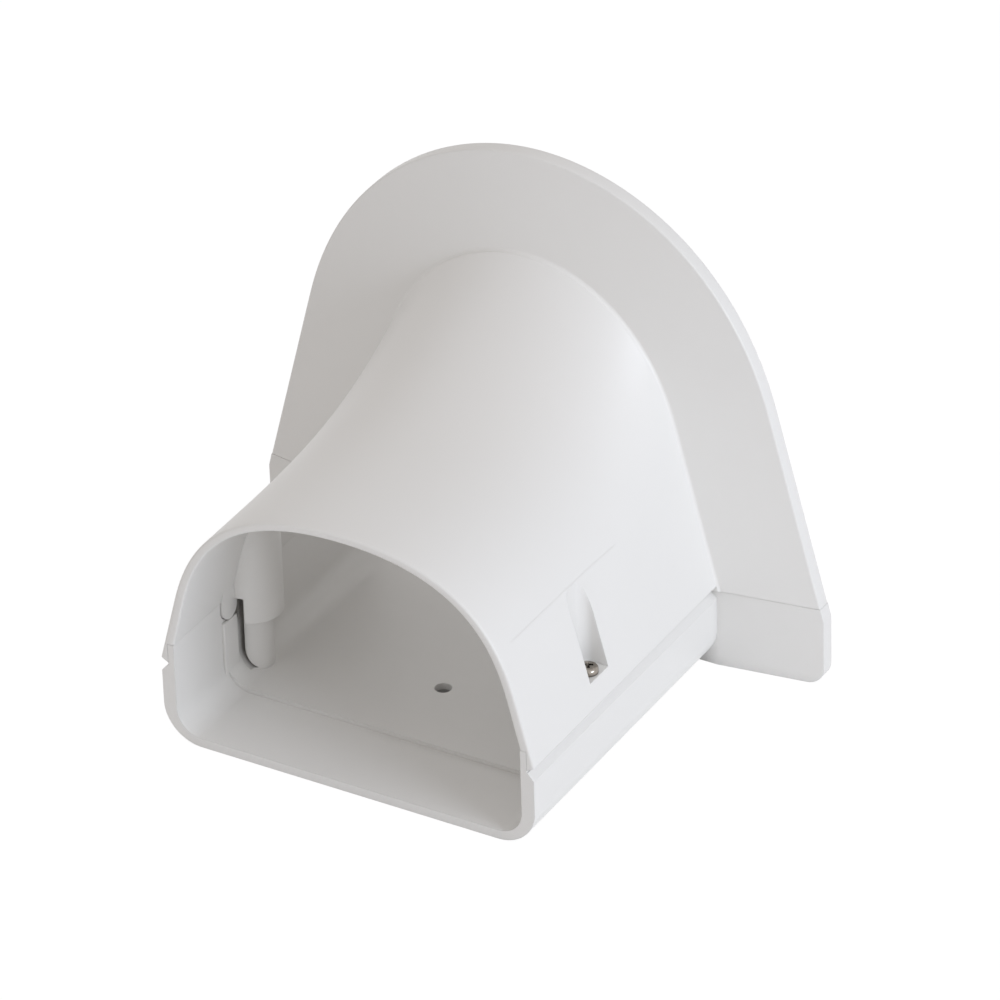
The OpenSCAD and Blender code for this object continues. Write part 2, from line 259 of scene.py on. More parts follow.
# %% [markdown]
# The hood's cross section is an arch: straight side walls that lean in, round shoulders and
# a flat crown. From the mouth to the flange the crown rises and the arch narrows, slowly at
# first and steeply at the end, as a bell does. A curve with two handles draws the shoulder,
# and a power of the distance from the mouth blends one section into the other.

# %% How the hood flares
def mix(a, b, share):
    return a + (b - a) * share


def flare(t):
    """How far the section at t, from 0 at the mouth to 1 at the root, has opened."""
    return max(t, 0.0) ** flare_power


def wall_x(z):
    return lip_half_w - math.tan(side_lean) * (z - seam_h)


def shoulder_z(t):
    return mix(mouth_shoulder_h, bell_shoulder_h, flare(t))


def crown_z(t):
    return mix(mouth_h, bell_h, flare(t))


def wall_at(t, z):
    """Wall thickness: the hood thins from its lip to its crown."""
    return mix(hood_wall, crown_wall, (z - seam_h) / (crown_z(t) - seam_h))


print(f"crown halfway along: {crown_z(0.5):.1f} mm")

# %% Cross section of the hood
side_stops, arch_stops = 12, 36
stops = 2 * (side_stops + arch_stops) + 1


def arch_handles(t):
    z = shoulder_z(t)
    x = wall_x(z)
    up = mix(mouth_shoulder_pull, bell_shoulder_pull, flare(t)) * (crown_z(t) - z)
    across = mix(mouth_crown_pull, bell_crown_pull, flare(t)) * x
    return ((x, z), (x - math.sin(side_lean) * up, z + math.cos(side_lean) * up),
            (across, crown_z(t)), (0.0, crown_z(t)))


def side_stop(t, share):
    """Point on the side wall, and how far it moves for each millimetre of offset."""
    z = mix(seam_h, shoulder_z(t), share)
    turn = side_lean * share
    stretch = 1 / math.cos(side_lean - turn)
    return wall_x(z), z, math.cos(turn) * stretch, math.sin(turn) * stretch


def arch_stop(t, s):
    """Point on the shoulder's curve, and the direction square to it."""
    a, b, c, d = arch_handles(t)
    weights = ((1 - s) ** 3, 3 * s * (1 - s) ** 2, 3 * s * s * (1 - s), s ** 3)
    x, z = (sum(w * p[k] for w, p in zip(weights, (a, b, c, d))) for k in (0, 1))
    slopes = (3 * (1 - s) ** 2, 6 * s * (1 - s), 3 * s * s)
    legs = [(q[0] - p[0], q[1] - p[1]) for p, q in ((a, b), (b, c), (c, d))]
    dx, dz = (sum(w * leg[k] for w, leg in zip(slopes, legs)) for k in (0, 1))
    length = math.hypot(dx, dz)
    return x, z, dz / length, -dx / length


def section(t):
    half = [side_stop(t, i / side_stops) for i in range(side_stops)]
    half += [arch_stop(t, i / arch_stops) for i in range(arch_stops)]
    return half + [arch_stop(t, 1.0)] + [(-x, z, -nx, nz) for x, z, nx, nz in reversed(half)]


print("section at the mouth:", len(section(0.0)), "stops")

# %% [markdown]
# The hood is one skin that runs from the mouth's rim over the outside to the flange, round
# the flange's rim and back through the inside. Each row below says where it lies: how far
# along the flare, measured from the inner wall or from the outer, how far off that wall, and
# at what depth. Arcs of rows give the rims and the root their radii, so that they catch the
# light as moulded edges do.

# %% Rows of the hood's outside and flange
mouth_edge_r, mouth_inner_r = 0.5, 0.4
rim_front_r, rim_back_r, bell_edge_r = 0.4, 0.4, 0.8
outside_steps, inside_steps, plate_steps, hollow_steps = 60, 50, 6, 4
INNER, OUTER = 0.0, 1.0


def face_y(offset):
    """Depth of the flange's face, which rakes back from the root to the rim."""
    return mouth_to_root + flange_rake * (offset - root_fillet) / (flange_margin - root_fillet)


def outside_rows():
    for a in quarter(5):
        yield 0.0, OUTER, -mouth_edge_r * (1 - math.sin(a)), mouth_edge_r * (1 - math.cos(a))
    for i in range(1, outside_steps + 1):
        t = mix(mouth_edge_r / flare_len, 1.0, i / outside_steps)
        yield t, OUTER, 0.0, t * flare_len
    for a in quarter(6)[1:]:
        yield (1.0, OUTER, root_fillet * (1 - math.cos(a)),
               mouth_to_root - root_fillet * (1 - math.sin(a)))


def flange_rows():
    front = flange_margin - rim_front_r
    for i in range(1, plate_steps):
        offset = mix(root_fillet, front, i / plate_steps)
        yield 1.0, OUTER, offset, face_y(offset)
    for a in quarter(6):
        yield (1.0, OUTER, front + rim_front_r * math.sin(a),
               face_y(front) + rim_front_r * (1 - math.cos(a)))
    for a in quarter(4):
        yield (1.0, OUTER, flange_margin - rim_back_r * (1 - math.cos(a)),
               depth - rim_back_r * (1 - math.sin(a)))
    land_start = flange_margin - land_w
    yield 1.0, OUTER, land_start, depth
    for i in range(hollow_steps + 1):
        offset = mix(land_start - land_draft, root_fillet, i / hollow_steps)
        yield 1.0, OUTER, offset, face_y(offset) + flange_plate


print("outside and flange:", len([*outside_rows(), *flange_rows()]), "rows")

# %% Rows of the hood's inside
back_y = mouth_to_root + flange_plate


def inside_rows():
    for a in quarter(5):
        y = back_y - bell_edge_r * (1 - math.cos(a))
        yield y / back_y, INNER, bell_edge_r * (1 - math.sin(a)), y
    for i in range(1, inside_steps):
        y = mix(back_y - bell_edge_r, mouth_inner_r, i / inside_steps)
        yield y / back_y, INNER, 0.0, y
    for a in reversed(quarter(4)):
        yield 0.0, INNER, mouth_inner_r * (1 - math.sin(a)), mouth_inner_r * (1 - math.cos(a))


skin_rows = [*outside_rows(), *flange_rows(), *inside_rows()]
print("hood skin:", len(skin_rows), "rows")

# %% [markdown]
# Joining neighbouring rows with quads gives the closed skin. The two cut ends of the arch,
# which lie on the seam, are closed with one face each.

# %% Hood blank
def skin_points(rows):
    for t, side, offset, y in rows:
        for x, z, nx, nz in section(t):
            move = -wall_at(t, z) * (1 - side) + offset
            yield x + nx * move, y, z + nz * move


def skin_blank(name, rows):
    n = len(rows)
    faces = quads(n, stops, loop_rows=True)
    faces.append(tuple(r * stops for r in range(n)))
    faces.append(tuple(r * stops + stops - 1 for r in reversed(range(n))))
    return blank(name, list(skin_points(rows)), faces)


cover = skin_blank("cover_shell", skin_rows)
print("hood blank:", len(cover.data.polygons), "faces")

# %% [markdown]
# Along the seam the hood's lip is thinned on its inner side, so that it can lap over a
# tongue on the base, and its underside slopes. The slope and the base's shoulder leave the
# small V-shaped groove that hides a moulded seam.

# %% Lap joint of the hood
bevel_rise, lip_bite = 0.3, 0.2


def rebate_tool():
    return block("rebate", (-lap, AHEAD, 0), (notch_x, FAR, tongue_top + slip))


def lip_tool():
    near, far = notch_x - lip_bite, lip_half_w + past
    low, high = seam_h + bevel_rise, seam_h + groove_h + bevel_rise
    slope = [(near, 0), (near, low), (notch_x, low), (far, high), (far, 0)]
    return prism("lip", slope, AHEAD, mouth_to_root - root_fillet / 2, along_y)


carve(cover, *both_sides(rebate_tool), *both_sides(lip_tool))
print("lap joint cut:", len(cover.data.polygons), "faces")

# %% [markdown]
# Each screw sits in a well. From outside it is a round channel, open where the leaning wall
# crosses it, with a ledge for the screw head. Inside, its wall hangs down as a skirt round
# the post. The well is a drum trimmed by the filled hood, and the slit beside the post is
# kept open by trimming the skirt short of the side wall.

# %% Screw wells
core_steps, hang_reach, hang_foot_h = 40, 12.0, 5.0


def hood_core(inset=crown_wall / 2):
    """The hood filled out to a skin that lies a little inside its surface."""
    shares = [i / core_steps for i in range(core_steps + 1)]
    points = [(x - nx * inset, t * flare_len, z - nz * inset)
              for t in shares for x, z, nx, nz in section(t)]
    faces = quads(len(shares), stops, loop_stops=True) + lids(len(shares), stops)
    return blank("core", points, faces)


def well():
    body = hood_core()
    join(body, block("hang", (0, post_y - hang_reach, hang_foot_h),
                     (skirt_side_x + slip, post_y + hang_reach, ledge_h - slip)))
    carve(body, block("slit", (skirt_side_x, 0, 0), (FAR, FAR, ledge_under)))
    return overlap(drum("well", (post_x, post_y), skirt_r, skirt_h, bell_h), body)


join(cover, *both_sides(well))
print("wells joined:", len(cover.data.polygons), "faces")

# %% [markdown]
# A tab hangs beside each well and drops into a notch in the tongue, which keeps the hood
# from sliding along the base. The notch leaves a thin sill at the foot of the tongue, so
# that no light shows through the groove, and the tab's tip is thinned to clear that sill.

# %% Tabs
def round_end(half, steps=32):
    """Upright strip with a round lower end, as (y, z) points."""
    arc = [(tab_y + half * math.cos(a), tab_end - half * math.sin(a))
           for a in (math.pi * i / steps for i in range(steps + 1))]
    return [(tab_y + half, FAR), *arc, (tab_y - half, FAR)]


def tab():
    """Strip that hangs from the hood's wall, thinned where it passes the sill and the wall."""
    tip_x, tip_top = sill_x - slip, sill_top + slip
    depth_of_strip = [(0, 0), (tip_x, 0), (tip_x, tip_top), (tongue_half_w, tip_top),
                      (tongue_half_w, tongue_top + tongue_t),
                      (tab_x + hood_wall / 2, tab_top), (0, tab_top)]
    return overlap(prism("tab", round_end(tab_w / 2), tab_x, FAR, along_x),
                   prism("side", depth_of_strip, 0, 2 * tab_y, along_y))


join(cover, *both_sides(tab))
print("tabs joined:", len(cover.data.polygons), "faces")

# %% [markdown]
# The channel, the screw's hole and the socket for the top of the post pass through hood and
# well alike, so they are cut once both are one piece.

# %% Channels, screw holes and post sockets
way_out, tool_foot_h = 2.0, 2.0


def channel():
    """Driver channel: a round-cornered slot that is open to the outside."""
    x, y = post_x - channel_back + channel_corner_r, channel_w / 2 - channel_corner_r
    half = [(half_w + way_out, channel_w / 2)]
    half += [(x - channel_corner_r * math.sin(a), y + channel_corner_r * math.cos(a))
             for a in quarter(16)]
    plan = [(a, post_y + b) for a, b in half] + [(a, post_y - b) for a, b in reversed(half)]
    return prism("channel", plan, ledge_h, FAR, along_z)


def screw_hole():
    return drum("screw_hole", (post_x, post_y), screw_hole_d / 2, tool_foot_h,
                ledge_h + way_out, steps=48)


def post_socket():
    return overlap(drum("socket", (post_x, post_y), socket_r, tool_foot_h, ledge_under),
                   block("trim", (0, 0, 0), (notch_x, FAR, FAR)))


carve(cover, *both_sides(channel), *both_sides(screw_hole), *both_sides(post_socket))
print("channels, holes and sockets cut:", len(cover.data.polygons), "faces")

# %% [markdown]
# Where two halves of a mould meet, they leave a witness on the part. Here it is a hairline
# on each side wall, cut with a thin block that is trimmed to the wall's outermost skin.

# %% Witness marks
witness_z, witness_w, witness_deep = 40.5, 0.16, 0.03
witness_start, witness_beyond = 5.0, 16.0


def witness():
    """Hairline where two halves of the mould met, from near the rim to beyond the channel."""
    low, high = witness_z - witness_w / 2, witness_z + witness_w / 2
    line = block("witness", (0, witness_start, low), (FAR, post_y + witness_beyond, high))
    return carve(line, hood_core(witness_deep))


carve(cover, *both_sides(witness))
print("hood finished:", len(cover.data.polygons), "faces")

# %% [markdown]
# The base is a tub: flat floor, upright walls and round bottom corners. It is extruded and
# hollowed first, and its edges are softened while the shape is still simple, because a
# bevel works cleanly on long edges and badly on small cut ones. The walls start out too
# high and are cut level afterwards, so that the tongue's top keeps its edges. The floor is a
# little lower near the mouth, where the end of the pipe cover lies.

# %% Tub of the base
wall_spare, edge_r = 3.0, 0.4


def tub_outline(half, bottom, top, r, steps=24):
    arc = [(math.sin(a), math.cos(a)) for a in quarter(steps)]
    right = [(half - r + r * c, bottom + r - r * s) for s, c in arc]
    return [(half, top)] + right + [(-x, z) for x, z in reversed(right)] + [(-half, top)]


inner_corner_r = corner_r - side_wall
outside = tub_outline(half_w, 0, tongue_top + wall_spare, corner_r)
tub = prism("base_shell", outside, 0, mouth_to_root + flange_plate / 2, along_y)
inner = tub_outline(inner_half_w, floor_t, FAR, inner_corner_r)
socket = tub_outline(inner_half_w, floor_t - socket_step, FAR, inner_corner_r)
carve(tub, prism("hollow", inner, socket_len, FAR, along_y),
      prism("socket", socket, AHEAD, socket_len, along_y))
soften(tub, edge_r)
carve(tub, block("level", (-FAR, AHEAD, tongue_top + snug), (FAR, FAR, FAR)))
print("tub:", len(tub.data.polygons), "faces")

# %% [markdown]
# Outside the tongue the wall is cut down to a shelf and a sloping shoulder, the lower half
# of the groove. The tongue is notched down to its sill where the hood's tab and screw well
# come down.

# %% Tongue, shoulder and notches
shelf_drop, shoulder_fall = 0.05, 0.6
notch_near = inner_half_w - past


def shoulder_tool():
    near, far = tongue_half_w + snug, half_w + past
    shelf, edge = base_top - shelf_drop, base_top - groove_h
    cut = [(near, FAR), (near, shelf), (notch_x + slip, shelf), (half_w, edge),
           (far, edge - shoulder_fall), (far, FAR)]
    return prism("shoulder", cut, AHEAD, FAR, along_y)


def gap_over_sill(start, end):
    """Gap in the tongue that stops above a thin sill, so no light shows through the groove."""
    gap = [(notch_near, skirt_h), (sill_x, skirt_h), (sill_x, sill_top), (notch_x, sill_top),
           (notch_x, FAR), (notch_near, FAR)]
    return prism("gap", gap, start, end, along_y)


def tab_notch():
    hollow = prism("notch", round_end(tab_w / 2 + slip), notch_near, notch_x, along_x)
    carve(hollow, block("sill", (sill_x, 0, 0), (FAR, 2 * tab_y, sill_top)))
    return join(hollow, gap_over_sill(tab_y, post_y - post_d / 2))


def well_notch():
    end = post_y + skirt_r + slip
    over = block("over", (notch_near, post_y - post_d / 2 - lap, ledge_under),
                 (notch_x, end, FAR))
    return join(over, gap_over_sill(post_y + post_d / 2, end))


carve(tub, *both_sides(shoulder_tool), *both_sides(tab_notch), *both_sides(well_notch))
print("lap joint of the base:", len(tub.data.polygons), "faces")

# %% [markdown]
# The flange's lower ends belong to the base. Their fronts slope back to the rim, and their
# backs are hollowed so that only a land bears on the ceiling. One solid spans both sides; it
# is the overlap of a plan and a front outline.

# %% Foot of the flange
def foot_outline(inset, bottom):
    side, top = foot_half_w - inset, foot_top_half_w - inset
    right = [(top, FAR), (top, base_top), (side, knee_h)]
    right += [(side - foot_r + foot_r * math.cos(a), bottom + foot_r - foot_r * math.sin(a))
              for a in quarter(24)]
    return right + [(-x, z) for x, z in reversed(right)]


def foot_plan(front, back):
    side = foot_half_w + past
    rake = flange_rake / (foot_half_w - half_w) * past
    right = [(half_w, mouth_to_root + front), (side, rim_front_y + front + rake)]
    return [(-x, y) for x, y in reversed(right)] + right + [(side, back), (-side, back)]


foot = overlap(prism("foot", foot_plan(0, depth), -past, seam_h - hairline, along_z),
               prism("outline", foot_outline(0, 0), 0, FAR, along_y))
pocket = overlap(prism("pocket", foot_plan(flange_plate, FAR), 0, FAR, along_z),
                 prism("pocket_outline", foot_outline(land_w, floor_t), 0, FAR, along_y))
carve(foot, pocket)
soften(foot, edge_r)
carve(foot, prism("way_in", inner, 0, FAR, along_y))
print("foot:", len(foot.data.polygons), "faces")

# %% [markdown]
# Inside stand the two screw posts, each joined to the side wall by a narrow neck, and a low
# rib under each tab. The floor has one hole for the screw that fixes the base. The floor is
# thinned from below round the hole, as moulders do to keep the plastic from sinking, so the
# hole is short, and past its edge one looks into the shade of the hollow.

# %% Posts, slits and pilot holes
tongue_corner_r = corner_r - (half_w - tongue_half_w)
relief_reach = 0.5


def post():
    piece = drum("post", (post_x, post_y), post_d / 2, floor_t / 2, ledge_under)
    wall_line = tub_outline(tongue_half_w, 0, FAR, tongue_corner_r)
    return overlap(piece, prism("trim", wall_line, 0, FAR, along_y))


def post_slits():
    """Two slits that follow the side wall down round its corner."""
    def right_half(half):
        outline = tub_outline(half, floor_t - slip, FAR, inner_corner_r)
        return outline[:len(outline) // 2]
    strip = right_half(inner_half_w + slip) + right_half(inner_half_w - relief_w)[::-1]
    near, far = neck_w / 2, post_d / 2 + relief_reach
    slits = [prism("slit", strip, post_y + start, post_y + end, along_y)
             for start, end in ((near, far), (-far, -near))]
    above = block("above", (0, 0, floor_t + relief_foot), (FAR, FAR, 2 * FAR))
    return overlap(join(*slits), above)


def pilot():
    bottom = ledge_h - screw_len - pilot_spare
    return drum("pilot", (post_x, post_y), pilot_d / 2, bottom, FAR, steps=32)


print(f"posts {post_x} mm from the middle, pilot holes {pilot_d:.1f} mm wide")

# %% Ribs, and the base put together
hollow_r, hollow_h = 2.4, 1.3
rib_edge_r, rib_inset = 0.25, 1.0


def rib():
    piece = block("rib", (tab_x, tab_y - tab_w / 2, floor_t / 2),
                  (half_w - side_wall / 2, tab_y + tab_w / 2, tab_foot_h - slip))
    soften(piece, rib_edge_r)
    wall_line = tub_outline(half_w - rib_inset, rib_inset, FAR, corner_r - rib_inset)
    return overlap(piece, prism("trim", wall_line, 0, FAR, along_y))


join(tub, foot, *both_sides(rib), *both_sides(post))
carve(tub, *both_sides(post_slits), *both_sides(pilot),
      drum("fixing", (0, fixing_y), fixing_d / 2, AHEAD, FAR, steps=64),
      drum("hollow", (0, fixing_y), hollow_r, AHEAD, hollow_h))
print("base finished:", len(tub.data.polygons), "faces")

# %% [markdown]
# The screws are zinc-plated pan-head tapping screws. The head and the point are turned from
# one profile, the thread is a ridge that climbs round the core by its pitch, and the cross
# recess is carved with a tapered tool, as a punch would form it.

# %% Profile of the tapping screw
pitch, core_r, ridge_share, point_r = 0.8, 0.78, 0.28, 0.03
crown_r, shoulder_r, under_edge = 4.6, 0.65, 0.1


def thread_r(angle, z):
    """Radius of the threaded shank at an angle, z millimetres under the head."""
    phase = (z / pitch + angle / (2 * math.pi)) % 1.0
    ridge = max(0.0, 1 - abs(phase - 0.5) / ridge_share)
    point = min(1.0, (screw_len - z) / screw_d)
    return max((core_r + (screw_d / 2 - core_r) * ridge) * point, point_r)


def head_profile():
    """Pan head: a gently domed top, a round shoulder and a short upright side."""
    flat_r = head_d / 2 - shoulder_r
    for share in (0.0, 0.3, 0.6, 0.8):
        yield flat_r * share, head_h - (flat_r * share) ** 2 / (2 * crown_r)
    for a in quarter(6):
        yield (flat_r + shoulder_r * math.sin(a),
               head_h - flat_r ** 2 / (2 * crown_r) - shoulder_r * (1 - math.cos(a)))
    yield head_d / 2, under_edge
    yield head_d / 2 - under_edge, 0.0


print(f"thread: {screw_len / pitch:.0f} turns of {pitch} mm")

# %% Screw blank
ring_steps, thread_step, axis_r = 32, 0.08, 0.01


def screw_blank(name, x):
    turns = [2 * math.pi * k / ring_steps for k in range(ring_steps)]
    rows = [[(max(r, axis_r), z)] * ring_steps for r, z in head_profile()]
    for i in range(int(screw_len / thread_step) + 1):
        z = i * thread_step
        rows.append([(thread_r(angle, z), -z) for angle in turns])
    points = [(x + r * math.cos(angle), post_y + r * math.sin(angle), ledge_h + z)
              for row in rows for angle, (r, z) in zip(turns, row)]
    faces = quads(len(rows), ring_steps, loop_stops=True) + lids(len(rows), ring_steps)
    return blank(name, points, faces)


print("screw blank is ready")

# %% Cross recess
# Half length and half width of a wing, at the top of the tool and at its tip.
wing_top, wing_tip = (1.4, 0.36), (0.35, 0.14)
recess_above, recess_deep = 0.4, 1.1
wing_faces = [(0, 1, 2, 3), (7, 6, 5, 4), (0, 4, 5, 1), (1, 5, 6, 2), (2, 6, 7, 3), (3, 7, 4, 0)]


def wing_corners(size, z):
    a, b = size
    return [(-a, -b, z), (a, -b, z), (a, b, z), (-a, b, z)]


def cross_tool(x, turn):
    """Tapered cross: four wings that narrow towards the bottom of the recess."""
    corners = wing_corners(wing_top, head_h + recess_above)
    corners += wing_corners(wing_tip, head_h - recess_deep)
    bars = []
    for angle in (math.radians(turn), math.radians(turn + 90)):
        c, s = math.cos(angle), math.sin(angle)
        points = [(x + a * c - b * s, post_y + a * s + b * c, ledge_h + z) for a, b, z in corners]
        bars.append(blank("wing", points, wing_faces))
    return join(*bars)


def tapping_screw(name, x, turn):
    return carve(screw_blank(name, x), cross_tool(x, turn))


screw_left = tapping_screw("tapping_screw_left", -post_x, turn=20)
screw_right = tapping_screw("tapping_screw_right", post_x, turn=35)
print("screws:", len(screw_right.data.polygons), "faces each")

# %% [markdown]
# Each piece takes the place of its solid and rides on the same body. Smooth shading is kept
# to edges flatter than a few degrees, so the flare flows and the rims stay crisp.

# %% Placing the pieces
def stand_for(piece, node, body, sharp=12):
    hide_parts(node)
    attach(piece, body)
    for face in piece.data.polygons:
        face.use_smooth = True
    piece.data.set_sharp_from_angle(angle=math.radians(sharp))


stand_for(cover, "cover", "cover")
stand_for(tub, "base", "base")
stand_for(screw_left, "screw_left", "screw_left", sharp=35)
stand_for(screw_right, "screw_right", "screw_right", sharp=35)
print("pieces placed")

# %% [markdown]
# Materials are networks of nodes. Colours are written as they look on screen and turned
# into the linear values that light works in. One function adds any node.

# %% Material helpers
def linear(hex_colour):
    parts = [int(hex_colour[i:i + 2], 16) / 255 for i in (1, 3, 5)]
    bent = [p / 12.92 if p <= 0.04045 else ((p + 0.055) / 1.055) ** 2.4 for p in parts]
    return (*bent, 1.0)


def add_node(tree, kind, inputs=None, **settings):
    node = tree.nodes.new(kind)
    for name, value in settings.items():
        setattr(node, name, value)
    for name, value in (inputs or {}).items():
        if isinstance(value, bpy.types.NodeSocket):
            tree.links.new(value, node.inputs[name])
        else:
            node.inputs[name].default_value = value
    return node


def new_material(name):
    material = bpy.data.materials.new(name)
    material.use_nodes = True
    material.node_tree.nodes.clear()
    return material, material.node_tree


def finish_with(piece, material):
    piece.data.materials.clear()
    piece.data.materials.append(material)


print("linear mid grey:", round(linear("#808080")[0], 3))

# %% [markdown]
# The shells are ASA, the weather-proof cousin of ABS, injection moulded in a spark-eroded
# tool. That gives an even, slightly warm white with a soft sheen: light breaks up in a grain
# of about a third of a millimetre, a little coarser than the real one so that it shows, and
# the sheen drifts a little where the plastic cooled at different speeds. The bevel node
# rounds the shading of cut edges by a quarter of a millimetre, the radius that a tool
# leaves. Narrow recesses get painted shade: where little of the room can reach them, their
# colour turns grey. On the hood the painted shade reaches across a gap of a millimetre or
# so. In the base, which faces up, it also reaches the slits beside the posts and the hole in
# the floor.

# %% Moulded ASA
grain_size, grain_deep = 0.35 * MM, 0.02 * MM
flow_size, tool_edge_r = 45 * MM, 0.25 * MM


def moulded_asa(name, light, shade, recess):
    material, tree = new_material(name)
    place = add_node(tree, "ShaderNodeTexCoord").outputs["Object"]
    grain = add_node(tree, "ShaderNodeTexNoise", {
        "Vector": place, "Scale": 1 / grain_size, "Detail": 2.0})
    flow = add_node(tree, "ShaderNodeTexNoise", {
        "Vector": place, "Scale": 1 / flow_size, "Detail": 3.0})
    tint = add_node(tree, "ShaderNodeMix", {
        "Factor": flow.outputs["Fac"], "A": linear(light), "B": linear(shade)}, data_type="RGBA")
    # Painted shade: where the occlusion test finds little open room round a point, its colour is
    # mixed towards a mid grey.
    open_sky = add_node(tree, "ShaderNodeAmbientOcclusion", {"Distance": recess}, samples=4)
    lit = add_node(tree, "ShaderNodeMapRange", {
        "Value": open_sky.outputs["AO"], "From Min": 0.06, "From Max": 0.36})
    asa_painted_shade_colour = add_node(tree, "ShaderNodeMix", {
        "Factor": lit.outputs["Result"], "A": linear("#8A8682"),
        "B": tint.outputs["Result"]}, data_type="RGBA")
    sheen = add_node(tree, "ShaderNodeMapRange", {
        "Value": flow.outputs["Fac"], "To Min": 0.36, "To Max": 0.46})
    edge = add_node(tree, "ShaderNodeBevel", {"Radius": tool_edge_r}, samples=4)
    bump = add_node(tree, "ShaderNodeBump", {
        "Height": grain.outputs["Fac"], "Normal": edge.outputs["Normal"],
        "Strength": 0.12, "Distance": grain_deep})
    shader = add_node(tree, "ShaderNodeBsdfPrincipled", {
        "Base Color": asa_painted_shade_colour.outputs["Result"], "Roughness": sheen.outputs["Result"],
        "Normal": bump.outputs["Normal"], "IOR": 1.5, "Specular IOR Level": 0.5})
    add_node(tree, "ShaderNodeOutputMaterial", {"Surface": shader.outputs["BSDF"]})
    return material


finish_with(cover, moulded_asa("white_asa_hood", "#E7E6E3", "#E3E2DF", recess=1.2 * MM))
finish_with(tub, moulded_asa("white_asa_base", "#E6E5E2", "#E2E1DE", recess=5 * MM))
print("moulded shells finished")

# %% [markdown]
# The screws are steel, cold headed and zinc plated. Plating gives a bright, faintly warm
# metal whose sheen is broken by wire-drawing marks and handling. Such marks are finer than
# a render can show, so they are drawn about half a millimetre wide. The cross recess gets
# painted shade: where little of the room can reach it, its colour turns nearly black.

# %% Zinc-plated steel
spangle_size, spangle_deep, recess_reach = 0.6 * MM, 0.02 * MM, 0.9 * MM


def zinc_plated_steel(name):
    material, tree = new_material(name)
    place = add_node(tree, "ShaderNodeTexCoord").outputs["Object"]
    spangle = add_node(tree, "ShaderNodeTexNoise", {
        "Vector": place, "Scale": 1 / spangle_size, "Detail": 4.0})
    tint = add_node(tree, "ShaderNodeMix", {
        "Factor": spangle.outputs["Fac"], "A": linear("#B8B1A8"),
        "B": linear("#7E7770")}, data_type="RGBA")
    # Painted shade: deep in the recess, where the occlusion test finds little open room, the
    # colour is mixed towards nearly black.
    open_sky = add_node(tree, "ShaderNodeAmbientOcclusion", {
        "Distance": recess_reach}, samples=8)
    zinc_unshaded_share = add_node(tree, "ShaderNodeMapRange", {
        "Value": open_sky.outputs["AO"], "From Min": 0.35, "From Max": 0.85})
    zinc_painted_shade_colour = add_node(tree, "ShaderNodeMix", {
        "Factor": zinc_unshaded_share.outputs["Result"], "A": linear("#24211E"),
        "B": tint.outputs["Result"]}, data_type="RGBA")
    sheen = add_node(tree, "ShaderNodeMapRange", {
        "Value": spangle.outputs["Fac"], "To Min": 0.14, "To Max": 0.32})
    bump = add_node(tree, "ShaderNodeBump", {
        "Height": spangle.outputs["Fac"], "Strength": 0.2, "Distance": spangle_deep})
    shader = add_node(tree, "ShaderNodeBsdfPrincipled", {
        "Base Color": zinc_painted_shade_colour.outputs["Result"], "Metallic": 1.0,
        "Roughness": sheen.outputs["Result"], "Normal": bump.outputs["Normal"]})
    add_node(tree, "ShaderNodeOutputMaterial", {"Surface": shader.outputs["BSDF"]})
    return material


zinc = zinc_plated_steel("zinc_plated_steel")
finish_with(screw_left, zinc)
finish_with(screw_right, zinc)
print("screws finished")

# %% [markdown]
# The stage is a plain white floor. To the camera and to mirrors it shows as white paper,
# with a share of its own shading left in, so the object's shadow stays on it.

# %% White paper
paper_glow, paper_share = 1.06, 0.9


def white_to_the_eye(tree):
    """1 where a ray comes from the camera or from a glossy or clear surface."""
    rays = add_node(tree, "ShaderNodeLightPath").outputs
    seen = rays["Is Camera Ray"]
    for kind in ("Is Glossy Ray", "Is Transmission Ray"):
        either = add_node(tree, "ShaderNodeMath", operation="MAXIMUM")
        tree.links.new(seen, either.inputs[0])
        tree.links.new(rays[kind], either.inputs[1])
        seen = either.outputs[0]
    return seen


def paper(name):
    material, tree = new_material(name)
    card = add_node(tree, "ShaderNodeBsdfDiffuse", {"Color": linear("#F4F4F4")})
    glow = add_node(tree, "ShaderNodeEmission", {
        "Color": linear("#FFFFFF"), "Strength": paper_glow})
    share = add_node(tree, "ShaderNodeMath", operation="MULTIPLY")
    tree.links.new(white_to_the_eye(tree), share.inputs[0])
    share.inputs[1].default_value = paper_share
    blend = add_node(tree, "ShaderNodeMixShader", {"Fac": share.outputs[0]})
    tree.links.new(card.outputs["BSDF"], blend.inputs[1])
    tree.links.new(glow.outputs["Emission"], blend.inputs[2])
    add_node(tree, "ShaderNodeOutputMaterial", {"Surface": blend.outputs["Shader"]})
    return material


white_paper = paper("white_paper")
print("paper:", len(white_paper.node_tree.nodes), "nodes")

# %% Floor
# It lies a twentieth of a millimetre under the base, so that the two faces never coincide.
reach, sink = 3.0, -0.05 * MM
corners = [(-reach, -reach, sink), (reach, -reach, sink), (reach, reach, sink),
           (-reach, reach, sink)]
floor_mesh = bpy.data.meshes.new("floor")
floor_mesh.from_pydata(corners, [], [(0, 1, 2, 3)])
floor_mesh.materials.append(white_paper)
floor = bpy.data.objects.new("floor", floor_mesh)
bpy.context.scene.collection.objects.link(floor)
print("floor laid")

# %% [markdown]
# A product table stands in a white room: much light comes from the ceiling, some from the
# front and little from the back. One large soft lamp, low and to the right of the mouth,
# makes the right wall the brightest face. The top stays a little darker, and the inside
# falls off and turns warmer, because its light has bounced off the plastic more than once.

# %% World
world = bpy.data.worlds.new("white_room")
bpy.context.scene.world = world
world.use_nodes = True
sky = world.node_tree
sky.nodes.clear()


